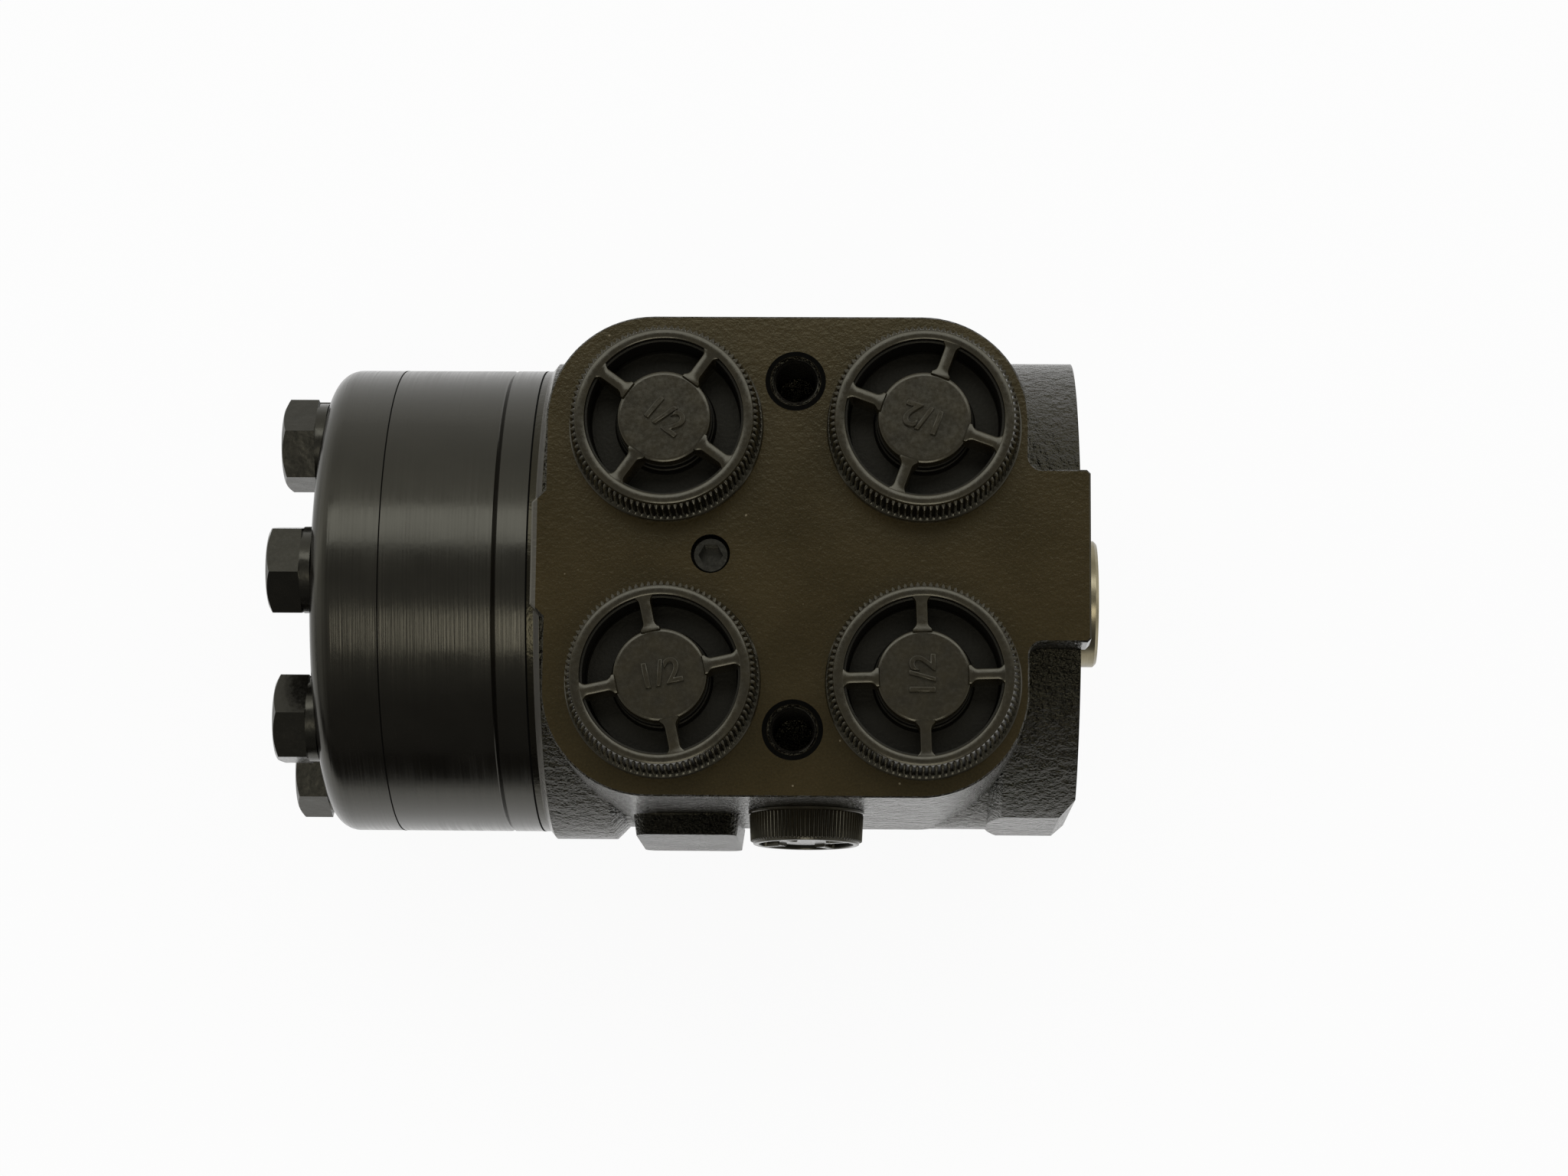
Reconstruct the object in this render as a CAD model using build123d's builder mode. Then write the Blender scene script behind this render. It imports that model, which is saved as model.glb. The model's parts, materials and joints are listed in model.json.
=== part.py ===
from build123d import *
import os
from math import asin, atan2, cos, degrees, hypot, pi, radians, sin, sqrt, tan

# Orbital steering unit: a rotary valve and a 6/7 orbit gear set in one block.
# Millimetres.  X runs along the shaft, positive towards the steering column;
# Z is the way the ports face; Y runs across the port face.
# The origin is the middle of the column mounting face.

os.makedirs("parts", exist_ok=True)

# ---------------------------------------------------------------- clearances
running_clearance = 0.04      # radial, parts that turn on each other
side_clearance = 0.05         # axial, parts that slide past each other
bolt_clearance = 0.3          # radial, bolt in its through hole
thread_clearance = 0.05       # radial, screw drawn at its outside diameter
seal_clearance = 0.05         # seal in its groove
loose_clearance = 0.12        # radial, pieces that lie loose in a bore

# ------------------------------------------------------------ stack of plates
housing_length = 104.0
distributor_thickness = 6.2
gear_width = 21.8
cover_thickness = 13.4
stack_diameter = 92.0
cover_edge_radius = 4.5
joint_chamfer = 0.45

# ------------------------------------------------------------- housing body
port_face_height = 54.0
port_face_edge = 0.3
block_gear_end = 100.0        # behind the mounting face
block_shaft_end = 10.0
block_width = 90.4
block_corner_radius = 20.0
block_floor = -2.0            # how far down the block's sides run
gear_lobe_end = 102.4
gear_lobe_width = 24.0
shaft_boss_overhang = 1.4
shaft_boss_width = 32.4
shaft_boss_fillet = 2.5
barrel_diameter = 90.0
register_length = 1.4         # turned band beside the distributor plate
register_step = 1.2           # slope from the band to the cast flange
gear_flange_diameter = 95.0
gear_flange_length = 14.4
mount_flange_diameter = 95.6
mount_flange_length = 14.0
mount_flange_flat_depth = 3.1  # cut off the disc on the pad side
mount_flat_chamfer = 2.8
cast_fillet = 2.5
side_pad_start = 64.2         # the cast pad on the side, behind the mounting face
side_pad_end = 84.6
side_pad_height = 49.2        # from the shaft
side_pad_bottom = -8.0
side_pad_top = 25.0
side_pad_draft = 8.0          # degrees
side_pad_corner = 3.0

# --------------------------------------------------------------------- ports
port_spacing = 48.0
port_centre = 53.5            # behind the mounting face
port_thread = 20.96
port_depth = 16.0
port_chamfer = 0.9
passage_diameter = 11.0
valve_screw_spacing = 65.6
valve_screw_drill = 8.5
screw_hole_chamfer = 0.45
valve_screw_depth = 16.0
side_port_station = 51.3
side_port_drop = 25.0         # below the port face
side_port_thread = 13.16
side_port_depth = 10.0
side_passage_diameter = 4.0

# ---------------------------------------------------------------- port caps
cap_height = 9.5
cap_flange_diameter = 36.2
cap_flange_thickness = 0.9
cap_grip_diameter = 35.0
cap_grip_taper = 5.0          # degrees
cap_rim_width = 1.95
cap_hub_diameter = 17.2
cap_spoke_width = 2.1
cap_pocket_depth = 8.2
cap_plug_length = 9.0
cap_turns = {"l": 54.0, "r": 12.5, "t": 70.0, "p": 2.0}
side_cap_height = 6.3
side_cap_diameter = 22.0
side_cap_turn = 30.0

# ----------------------------------------------------------- column mounting
mount_circle = 82.55
mount_thread = 10.0
mount_drill = 8.5
mount_depth = 17.0

# ------------------------------------------------------------- cover bolts
bolt_count = 7
bolt_circle = 69.0
bolt_thread = 10.0
bolt_head_across_flats = 16.0
bolt_head_height = 6.4
bolt_head_chamfer = 30.0      # degrees
bolt_head_face = 15.4         # diameter of the flat on top of the head
bolt_engagement = 14.0
bolt_turns = (42.0, 30.0, 10.0, 50.0, 20.0, 35.0, 23.0)   # degrees, as tightened
washer_diameter = 16.6
washer_thickness = 2.0
pin_bolt_tip_length = 5.0
pin_bolt_tip_diameter = 5.0

# ------------------------------------------------------------------ gear set
lobe_tip_radius = 27.5        # of the ring's lobes, from its centre
lobe_radius = 7.6
eccentricity = 3.7
gear_clearance = 0.05
rotor_arcs_per_lobe = 8
rotor_crowding = 0.88         # how strongly the arcs crowd into the valleys
spline_teeth = 12
rotor_spline_root = 19.6
rotor_spline_tip = 17.0
spline_tooth_share = 0.5      # of the pitch, at the middle of the tooth
spacer_thickness = 3.0

# ------------------------------------------------------------- rotary valve
end_wall = 8.0
sleeve_diameter = 40.0
spool_diameter = 31.0
spool_neck_diameter = 25.2
spool_reach = 5.4             # beyond the mounting face
spool_bore = 23.0
spool_web = 29.0              # where the spool's bore ends, behind the face
column_spline_root = 21.0
column_spline_tip = 18.0
column_spline_depth = 20.0
cross_pin_station = 38.0
cross_pin_diameter = 8.0
cross_pin_shortfall = 0.8     # each end inside the sleeve's outside
valve_travel = 10.0           # degrees each way between spool and sleeve
spring_station = 24.0
spring_width = 7.0
spring_slot = 5.0
spring_leaf = 0.6
spring_bow = 0.55
spring_ring_thickness = 0.9
groove_depth = 2.5
groove_width = 5.0
groove_stations = {"t": 22.0, "p": 40.5, "side": 51.3, "r": 70.0, "l": 84.0}
commutator_station = 94.0
channel_hole = 5.0
channel_wall = 2.0
commutator_hole = 3.0
spool_slot_width = 3.2
spool_slot_depth = 1.5
feed_hole = 3.4

# ------------------------------------------------------------ cardan shaft
cardan_shank = 14.0
cardan_head = 19.0
cardan_head_length = 15.0
cardan_tip_gap = 2.0          # from the spool's web to the fork
cardan_spline_length = 12.0

# ---------------------------------------------------------- thrust bearing
race_thickness = 1.0
race_diameter = 37.0
race_bore = 26.4
needle_diameter = 1.8
needle_length = 3.4
needle_count = 12

# -------------------------------------------------------------- shaft seals
shaft_seal_diameter = 33.0
shaft_seal_length = 3.4
dust_seal_diameter = 31.0
dust_seal_length = 3.0
wall_bore_clearance = 0.5
face_seal_inner = 82.0
face_seal_width = 2.4
face_seal_depth = 1.4

# -------------------------------------------------------------- check valve
check_station = 69.0
check_plug_diameter = 7.2
check_plug_length = 6.0
check_plug_recess = 1.6
check_plug_socket = 4.0
check_chamber = 6.2
check_ball = 5.0
check_lift = 1.5
check_seat_length = 4.0
check_seat_bore = 3.2
check_seat_height = 29.0      # top of the seat above the shaft

# ------------------------------------------------------------ worked-out ones
stack_radius = stack_diameter / 2
bolt_radius = bolt_circle / 2
distributor_x = -(housing_length + distributor_thickness)
gear_x = distributor_x - gear_width
cover_x = gear_x - cover_thickness
lobe_centre_radius = lobe_tip_radius + lobe_radius
ring_root_radius = lobe_tip_radius + 2 * eccentricity + gear_clearance
bore_radius = sleeve_diameter / 2 + running_clearance
spool_radius = spool_diameter / 2
neck_radius = spool_neck_diameter / 2
sleeve_bore_radius = spool_radius + running_clearance
bearing_stack = 2 * race_thickness + needle_diameter + 2 * side_clearance
sleeve_end = -(end_wall + bearing_stack)
sleeve_start = -(housing_length - side_clearance)
pin_hole_swing = (spool_radius - 1) * sin(radians(valve_travel))
rotor_middle = gear_x + gear_width / 2
pivot_to_rotor = -cross_pin_station - rotor_middle
cardan_tilt = degrees(atan2(eccentricity, pivot_to_rotor))
spline_wobble = cardan_spline_length / 2 * tan(radians(cardan_tilt)) + running_clearance
half_bolt_pitch = 180 / bolt_count
rotor_lobes = bolt_count - 1
channel_radius = bore_radius + groove_depth + channel_wall
chamber_radius = ring_root_radius - channel_hole / 2
port_hub = port_face_height - port_depth
side_port_height = port_face_height - side_port_drop
mount_flange_flat = mount_flange_diameter / 2 - mount_flange_flat_depth


def station(x):
    """The plane across the shaft at x, seen from the column end: Y right, Z up."""
    return Plane.YZ.offset(x)


port_face = Plane.XY.offset(port_face_height)
side_face = Plane(origin=(0, -block_width / 2, 0), x_dir=(1, 0, 0), z_dir=(0, -1, 0))
mount_face = station(0)


def spline_section(tip_radius, root_radius, slack=0.0):
    """Sketch of a round hole or shaft with straight-sided splines.

    The teeth fill the ring between the two radii; slack widens each tooth."""
    middle = (tip_radius + root_radius) / 2
    width = 2 * pi * middle / spline_teeth * spline_tooth_share + slack
    with BuildSketch() as section:
        Circle(tip_radius)
        with PolarLocations(middle, spline_teeth, start_angle=90):
            Rectangle(root_radius - tip_radius + 0.8, width)
        Circle(root_radius, mode=Mode.INTERSECT)
    return section.sketch


def save(piece, label):
    """Name a finished piece and write it to its own file."""
    piece.part.label = label
    export_step(piece.part, "parts/" + label + ".step")


# ================================================================== housing
port_places = {
    "l": (-(port_centre + port_spacing / 2), port_spacing / 2),
    "r": (-(port_centre + port_spacing / 2), -port_spacing / 2),
    "t": (-(port_centre - port_spacing / 2), port_spacing / 2),
    "p": (-(port_centre - port_spacing / 2), -port_spacing / 2),
}

valve_screw_places = [(-port_centre, side * valve_screw_spacing / 2) for side in (-1, 1)]

with BuildPart() as housing:
    # the cast barrel with a flange at each end
    with BuildSketch(Plane.XZ):
        with BuildLine():
            Polyline(
                (-housing_length, 0),
                (-housing_length, stack_radius),
                (-housing_length + register_length, stack_radius),
                (-housing_length + register_length + register_step, gear_flange_diameter / 2),
                (-housing_length + gear_flange_length, gear_flange_diameter / 2),
                (-housing_length + gear_flange_length + cast_fillet, barrel_diameter / 2),
                (-mount_flange_length - cast_fillet, barrel_diameter / 2),
                (-mount_flange_length, mount_flange_diameter / 2),
                (0, mount_flange_diameter / 2),
                (0, 0),
                close=True,
            )
        make_face()
    revolve(axis=Axis.X)

    # the flat on the mounting flange
    with BuildSketch(side_face.offset(mount_flange_flat - block_width / 2)):
        with Locations((-mount_flange_length / 2, 0)):
            Rectangle(mount_flange_length + 2 * cast_fillet, mount_flange_diameter)
    extrude(amount=mount_flange_flat_depth, mode=Mode.SUBTRACT)
    chamfer(
        housing.edges().filter_by(Axis.Z).group_by(Axis.X)[-1].sort_by(Axis.Y)[0],
        mount_flat_chamfer,
    )

    # the port block, its lobe over the gear end and its boss over the shaft end
    with BuildSketch(port_face):
        with Locations((-(block_gear_end + block_shaft_end) / 2, 0)):
            RectangleRounded(block_gear_end - block_shaft_end, block_width, block_corner_radius)
        with Locations((-(gear_lobe_end + port_centre) / 2, 0)):
            lobe = Rectangle(gear_lobe_end - port_centre, gear_lobe_width)
        chamfer(lobe.vertices().group_by(Axis.X)[0], gear_lobe_end - block_gear_end)
        with Locations(((shaft_boss_overhang - port_centre) / 2, 0)):
            boss = Rectangle(shaft_boss_overhang + port_centre, shaft_boss_width)
        boss_corners = boss.vertices().group_by(Axis.X)[-1]
        chamfer(boss_corners, shaft_boss_overhang / 2)
    extrude(amount=block_floor - port_face_height)
    boss_roots = housing.edges().filter_by(Axis.Z).filter_by_position(
        Axis.X, -block_shaft_end - 0.01, -block_shaft_end + 0.01
    )
    fillet(boss_roots.sort_by(lambda edge: abs(edge.center().Y))[:2], shaft_boss_fillet)
    with BuildSketch(mount_face):
        Circle(mount_flange_diameter / 2)
    extrude(amount=shaft_boss_overhang, mode=Mode.SUBTRACT)
    chamfer(housing.faces().sort_by(Axis.Z)[-1].outer_wire().edges(), port_face_edge)

    # the cast pad beside the side port
    with BuildSketch(side_face):
        with Locations(
            (-(side_pad_start + side_pad_end) / 2, (side_pad_bottom + side_pad_top) / 2)
        ):
            RectangleRounded(
                side_pad_end - side_pad_start, side_pad_top - side_pad_bottom, side_pad_corner
            )
    extrude(amount=side_pad_height - block_width / 2, taper=side_pad_draft)

    # the bore for the valve, the wall at its end and the two seal pockets
    with BuildSketch(station(-housing_length)):
        Circle(bore_radius)
    extrude(amount=housing_length - end_wall, mode=Mode.SUBTRACT)
    with BuildSketch(station(-end_wall)):
        Circle(neck_radius + wall_bore_clearance)
    extrude(amount=end_wall, mode=Mode.SUBTRACT)
    with BuildSketch(station(-end_wall)):
        Circle(shaft_seal_diameter / 2)
    extrude(amount=shaft_seal_length, mode=Mode.SUBTRACT)
    with BuildSketch(station(-dust_seal_length)):
        Circle(dust_seal_diameter / 2)
    extrude(amount=dust_seal_length, mode=Mode.SUBTRACT)

    # the ring grooves that carry oil round the sleeve
    for groove_station in groove_stations.values():
        with BuildSketch(station(-groove_station - groove_width / 2)):
            Circle(bore_radius + groove_depth)
        extrude(amount=groove_width, mode=Mode.SUBTRACT)

    # the four threaded ports, each with a slanted passage to its own groove
    with BuildSketch(port_face):
        with Locations(*port_places.values()):
            Circle(port_thread / 2)
    extrude(amount=-port_depth, mode=Mode.SUBTRACT)
    for name, (port_x, port_y) in port_places.items():
        groove_y = (bore_radius + groove_depth / 2) * port_y / abs(port_y)
        passage = Vector(-groove_stations[name] - port_x, groove_y - port_y, -port_hub)
        mouth = Vector(port_x, port_y, port_hub) - passage.normalized() * passage_diameter / 3
        with BuildSketch(Plane(origin=mouth, z_dir=passage)):
            Circle(passage_diameter / 2)
        extrude(amount=passage.length + passage_diameter / 3, mode=Mode.SUBTRACT)

    # the two screw holes between the ports
    with BuildSketch(port_face):
        with Locations(*valve_screw_places):
            Circle(valve_screw_drill / 2)
    extrude(amount=-valve_screw_depth, mode=Mode.SUBTRACT)
    with BuildSketch(port_face):
        with Locations(*valve_screw_places):
            Circle(valve_screw_drill / 2 + screw_hole_chamfer)
    extrude(amount=-screw_hole_chamfer, taper=45, mode=Mode.SUBTRACT)

    # the side port and its passage
    with BuildSketch(side_face):
        with Locations((-side_port_station, side_port_height)):
            Circle(side_port_thread / 2)
    extrude(amount=-side_port_depth, mode=Mode.SUBTRACT)
    side_hub = Vector(-side_port_station, side_port_depth - block_width / 2, side_port_height)
    side_passage = Vector(-groove_stations["side"], 0, 0) - side_hub
    with BuildSketch(Plane(origin=side_hub, z_dir=side_passage)):
        Circle(side_passage_diameter / 2)
    extrude(amount=side_passage.length - bore_radius, mode=Mode.SUBTRACT)

    # the check valve's stepped bore, down into the ring groove below it
    with BuildSketch(port_face):
        with Locations((-check_station, 0)):
            Circle(check_plug_diameter / 2 + thread_clearance)
    extrude(amount=-check_plug_recess - check_plug_length, mode=Mode.SUBTRACT)
    with BuildSketch(port_face):
        with Locations((-check_station, 0)):
            Circle(check_chamber / 2)
    extrude(amount=check_seat_height - check_seat_length - port_face_height, mode=Mode.SUBTRACT)
    with BuildSketch(port_face):
        with Locations((-check_station, 0)):
            Circle(check_seat_bore / 2)
    extrude(amount=bore_radius - port_face_height, mode=Mode.SUBTRACT)

    # threaded holes: cover bolts at the gear end, column bolts at the shaft end
    with BuildSketch(station(-housing_length)):
        with PolarLocations(bolt_radius, bolt_count, start_angle=90):
            Circle(bolt_thread / 2 + thread_clearance)
    extrude(amount=bolt_engagement + pin_bolt_tip_length + 1, mode=Mode.SUBTRACT)
    with BuildSketch(mount_face):
        with PolarLocations(mount_circle / 2, 4, start_angle=45):
            Circle(mount_drill / 2)
    extrude(amount=-mount_depth, mode=Mode.SUBTRACT)
    with BuildSketch(mount_face):
        with PolarLocations(mount_circle / 2, 4, start_angle=45):
            Circle(mount_drill / 2 + screw_hole_chamfer)
    extrude(amount=-screw_hole_chamfer, taper=45, mode=Mode.SUBTRACT)

    # the seven channels from the gear chambers to the sleeve
    with BuildSketch(station(-housing_length)):
        with PolarLocations(channel_radius, bolt_count, start_angle=90 + half_bolt_pitch):
            Circle(channel_hole / 2)
    extrude(amount=housing_length - commutator_station, mode=Mode.SUBTRACT)
    with Locations(station(-commutator_station)):
        with PolarLocations(bore_radius, bolt_count, start_angle=90 + half_bolt_pitch):
            Cylinder(
                channel_hole / 2 - 0.5,
                2 * (channel_radius - bore_radius),
                rotation=(0, 90, 0),
                mode=Mode.SUBTRACT,
            )

    # the groove for the face seal
    with BuildSketch(station(-housing_length)):
        Circle(face_seal_inner / 2 + face_seal_width)
        Circle(face_seal_inner / 2, mode=Mode.SUBTRACT)
    extrude(amount=face_seal_depth, mode=Mode.SUBTRACT)
save(housing, "housing")

# ======================================================== distributor plate
with BuildPart() as distributor_plate:
    with BuildSketch(station(distributor_x)):
        Circle(stack_radius)
        Circle(channel_radius - channel_hole, mode=Mode.SUBTRACT)
        with PolarLocations(bolt_radius, bolt_count, start_angle=90):
            Circle(bolt_thread / 2 + bolt_clearance, mode=Mode.SUBTRACT)
        with PolarLocations(channel_radius, bolt_count, start_angle=90 + half_bolt_pitch):
            Circle(channel_hole / 2, mode=Mode.SUBTRACT)
    extrude(amount=distributor_thickness)
    # kidney slots that spread each channel into its gear chamber
    with BuildSketch(station(distributor_x)):
        with PolarLocations(
            (channel_radius + chamber_radius) / 2, bolt_count, start_angle=90 + half_bolt_pitch
        ):
            SlotCenterToCenter(chamber_radius - channel_radius, channel_hole)
    extrude(amount=distributor_thickness / 2, mode=Mode.SUBTRACT)
    with BuildSketch(station(distributor_x)):
        Circle(face_seal_inner / 2 + face_seal_width)
        Circle(face_seal_inner / 2, mode=Mode.SUBTRACT)
    extrude(amount=face_seal_depth, mode=Mode.SUBTRACT)
    outer_edges = distributor_plate.edges().filter_by(
        lambda edge: edge.geom_type == GeomType.CIRCLE and edge.radius > stack_radius - 1
    )
    chamfer(outer_edges.sort_by(Axis.X)[0], joint_chamfer)
save(distributor_plate, "distributor_plate")

# ================================================================ gear ring
with BuildPart() as gear_ring:
    with BuildSketch(station(gear_x)):
        Circle(stack_radius)
        Circle(ring_root_radius, mode=Mode.SUBTRACT)
        with PolarLocations(lobe_centre_radius, bolt_count, start_angle=90):
            Circle(lobe_radius)
        with PolarLocations(bolt_radius, bolt_count, start_angle=90):
            Circle(bolt_thread / 2 + bolt_clearance, mode=Mode.SUBTRACT)
    extrude(amount=gear_width)
    outer_edges = gear_ring.edges().filter_by(
        lambda edge: edge.geom_type == GeomType.CIRCLE and edge.radius > stack_radius - 1
    )
    chamfer(outer_edges.sort_by(Axis.X)[-1], joint_chamfer)
save(gear_ring, "gear_ring")


# =============================================================== gear rotor
def rotor_point(turn):
    """A point of the rotor's outline, turn in radians round its centre.

    Seen from the rotor, a lobe's centre runs along R e^(iu) - e e^(i7u); the
    outline is that curve moved inwards by the lobe's radius and the clearance.
    The turn is crowded towards the valleys, where the outline bends most."""
    turn -= rotor_crowding * sin(rotor_lobes * turn) / rotor_lobes
    along = bolt_count * turn
    x = lobe_centre_radius * cos(turn) - eccentricity * cos(along)
    y = lobe_centre_radius * sin(turn) - eccentricity * sin(along)
    slope_x = -lobe_centre_radius * sin(turn) + bolt_count * eccentricity * sin(along)
    slope_y = lobe_centre_radius * cos(turn) - bolt_count * eccentricity * cos(along)
    step = (lobe_radius + gear_clearance) / hypot(slope_x, slope_y)
    return (x - slope_y * step, y + slope_x * step - eccentricity)


rotor_arcs = rotor_lobes * rotor_arcs_per_lobe
rotor_step = 2 * pi / rotor_arcs
with BuildPart() as gear_rotor:
    with BuildSketch(station(gear_x + side_clearance)):
        with BuildLine():
            for n in range(rotor_arcs):
                ThreePointArc(*[rotor_point(rotor_step * (n + part)) for part in (0, 0.5, 1)])
        make_face()
        with Locations((0, -eccentricity)):
            add(
                spline_section(rotor_spline_tip / 2, rotor_spline_root / 2),
                mode=Mode.SUBTRACT,
            )
    extrude(amount=gear_width - 2 * side_clearance)
save(gear_rotor, "gear_rotor")

with BuildPart() as spacer_disc:
    with BuildSketch(station(gear_x + 2 * side_clearance)):
        with Locations((0, -eccentricity)):
            Circle(rotor_spline_tip / 2 - loose_clearance)
    extrude(amount=spacer_thickness)
    chamfer(spacer_disc.faces().sort_by(Axis.X)[-1].edges(), 0.4)
save(spacer_disc, "spacer_disc")

# ================================================================ end cover
with BuildPart() as end_cover:
    with BuildSketch(station(cover_x)):
        Circle(stack_radius)
    extrude(amount=cover_thickness)
    fillet(end_cover.faces().sort_by(Axis.X)[0].edges(), cover_edge_radius)
    with BuildSketch(station(cover_x)):
        with PolarLocations(bolt_radius, bolt_count, start_angle=90):
            Circle(bolt_thread / 2 + bolt_clearance)
    extrude(amount=cover_thickness, mode=Mode.SUBTRACT)
    with BuildSketch(station(gear_x)):
        Circle(face_seal_inner / 2 + face_seal_width)
        Circle(face_seal_inner / 2, mode=Mode.SUBTRACT)
    extrude(amount=-face_seal_depth, mode=Mode.SUBTRACT)
save(end_cover, "end_cover")

# =============================================== face seals between the plates
seal_stations = {
    "housing_seal": -housing_length,
    "distributor_seal": distributor_x,
    "cover_seal": gear_x - face_seal_depth,
}
for seal_name, seal_x in seal_stations.items():
    with BuildPart() as face_seal:
        with BuildSketch(station(seal_x)):
            Circle(face_seal_inner / 2 + face_seal_width - seal_clearance)
            Circle(face_seal_inner / 2 + seal_clearance, mode=Mode.SUBTRACT)
        extrude(amount=face_seal_depth)
    save(face_seal, seal_name)

# ============================================================== cover bolts
shank_length = cover_thickness + gear_width + distributor_thickness + bolt_engagement
bolt_angles = [radians(90 + 2 * half_bolt_pitch * n) for n in range(bolt_count)]
bolt_points = [(bolt_radius * cos(angle), bolt_radius * sin(angle)) for angle in bolt_angles]
head_plane = station(cover_x - washer_thickness)
head_corner_radius = bolt_head_across_flats / sqrt(3)


def cover_bolt(first, last, tip):
    """Hexagon bolts numbered first to last - 1 round the bolt circle.

    A tip is the pin at the end of the special bolt that stops the check ball."""
    places = bolt_points[first:last]
    with BuildPart() as bolt:
        with BuildSketch(head_plane):
            for place, turn in zip(places, bolt_turns[first:last]):
                with Locations(place):
                    RegularPolygon(head_corner_radius, 6, rotation=turn)
        extrude(amount=-bolt_head_height)
        with BuildSketch(head_plane.offset(-bolt_head_height)):
            with Locations(*places):
                Circle(bolt_head_face / 2)
        extrude(amount=bolt_head_height, taper=bolt_head_chamfer - 90, mode=Mode.INTERSECT)
        with BuildSketch(head_plane):
            with Locations(*places):
                Circle(bolt_thread / 2)
        extrude(amount=shank_length + washer_thickness)
        if tip:
            with BuildSketch(head_plane.offset(shank_length + washer_thickness)):
                with Locations(*places):
                    Circle(pin_bolt_tip_diameter / 2)
            extrude(amount=pin_bolt_tip_length)
    return bolt


save(cover_bolt(0, bolt_count - 1, tip=False), "cover_bolts")
save(cover_bolt(bolt_count - 1, bolt_count, tip=True), "pin_bolt")

with BuildPart() as bolt_washers:
    with BuildSketch(head_plane):
        with Locations(*bolt_points):
            Circle(washer_diameter / 2)
            Circle(bolt_thread / 2 + bolt_clearance, mode=Mode.SUBTRACT)
    extrude(amount=washer_thickness)
save(bolt_washers, "bolt_washers")

# ============================================================ control sleeve
with BuildPart() as control_sleeve:
    with BuildSketch(station(sleeve_start)):
        Circle(sleeve_diameter / 2)
        Circle(sleeve_bore_radius, mode=Mode.SUBTRACT)
    extrude(amount=sleeve_end - sleeve_start)
    # holes pressed onto the cross pin, and slots for the leaf springs
    with BuildSketch(Plane.XZ):
        with Locations((-cross_pin_station, 0)):
            Circle(cross_pin_diameter / 2 + 0.01)
    extrude(amount=sleeve_diameter, both=True, mode=Mode.SUBTRACT)
    with BuildSketch(Plane.XY):
        with Locations((-spring_station, 0)):
            Rectangle(spring_width + 2 * loose_clearance, spring_slot)
    extrude(amount=sleeve_diameter, both=True, mode=Mode.SUBTRACT)
    # the seat for the spring ring
    with BuildSketch(station(-spring_station - spring_width / 2)):
        Circle(sleeve_diameter / 2 + 1)
        Circle(sleeve_diameter / 2 - spring_ring_thickness - 0.1, mode=Mode.SUBTRACT)
    extrude(amount=spring_width, mode=Mode.SUBTRACT)
    # timing holes: twelve to the gear channels, and rings of six to the ports
    with Locations(station(-commutator_station)):
        with PolarLocations(sleeve_bore_radius, spline_teeth, start_angle=15):
            Cylinder(commutator_hole / 2, sleeve_diameter / 2, rotation=(0, 90, 0), mode=Mode.SUBTRACT)
    for name, start in (("l", 0), ("r", 30), ("p", 15)):
        with Locations(station(-groove_stations[name])):
            with PolarLocations(sleeve_bore_radius, bolt_count - 1, start_angle=start):
                Cylinder(feed_hole / 2, sleeve_diameter / 2, rotation=(0, 90, 0), mode=Mode.SUBTRACT)
save(control_sleeve, "control_sleeve")

with BuildPart() as cross_pin:
    with BuildSketch(Plane.XZ):
        with Locations((-cross_pin_station, 0)):
            Circle(cross_pin_diameter / 2)
    extrude(amount=sleeve_diameter / 2 - cross_pin_shortfall, both=True)
    chamfer(cross_pin.edges().filter_by(GeomType.CIRCLE), 0.5)
save(cross_pin, "cross_pin")

with BuildPart() as spring_ring:
    with BuildSketch(station(-spring_station - spring_width / 2 + side_clearance)):
        Circle(sleeve_diameter / 2 - 0.1)
        Circle(sleeve_diameter / 2 - spring_ring_thickness, mode=Mode.SUBTRACT)
    extrude(amount=spring_width - 2 * side_clearance)
save(spring_ring, "spring_ring")

# ============================================================ leaf springs
spring_reach = sleeve_diameter / 2 - spring_ring_thickness - 0.4
spring_faces = station(-spring_station - spring_width / 2)
with BuildPart() as flat_springs:
    with BuildSketch(spring_faces):
        Rectangle(2 * spring_leaf - 0.04, 2 * spring_reach)
    extrude(amount=spring_width)
save(flat_springs, "flat_springs")

with BuildPart() as arched_springs:
    for side in (-1, 1):
        for leaf in range(2):
            inner = spring_leaf + leaf * (spring_leaf + 0.02) + 0.02
            with BuildSketch(spring_faces):
                with BuildLine():
                    near = ThreePointArc(
                        (side * (inner + spring_bow), -spring_reach),
                        (side * inner, 0),
                        (side * (inner + spring_bow), spring_reach),
                    )
                    far = ThreePointArc(
                        (side * (inner + spring_bow + spring_leaf), spring_reach),
                        (side * (inner + spring_leaf), 0),
                        (side * (inner + spring_bow + spring_leaf), -spring_reach),
                    )
                    Line(near @ 1, far @ 0)
                    Line(far @ 1, near @ 0)
                make_face()
            extrude(amount=spring_width)
save(arched_springs, "arched_springs")

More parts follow.
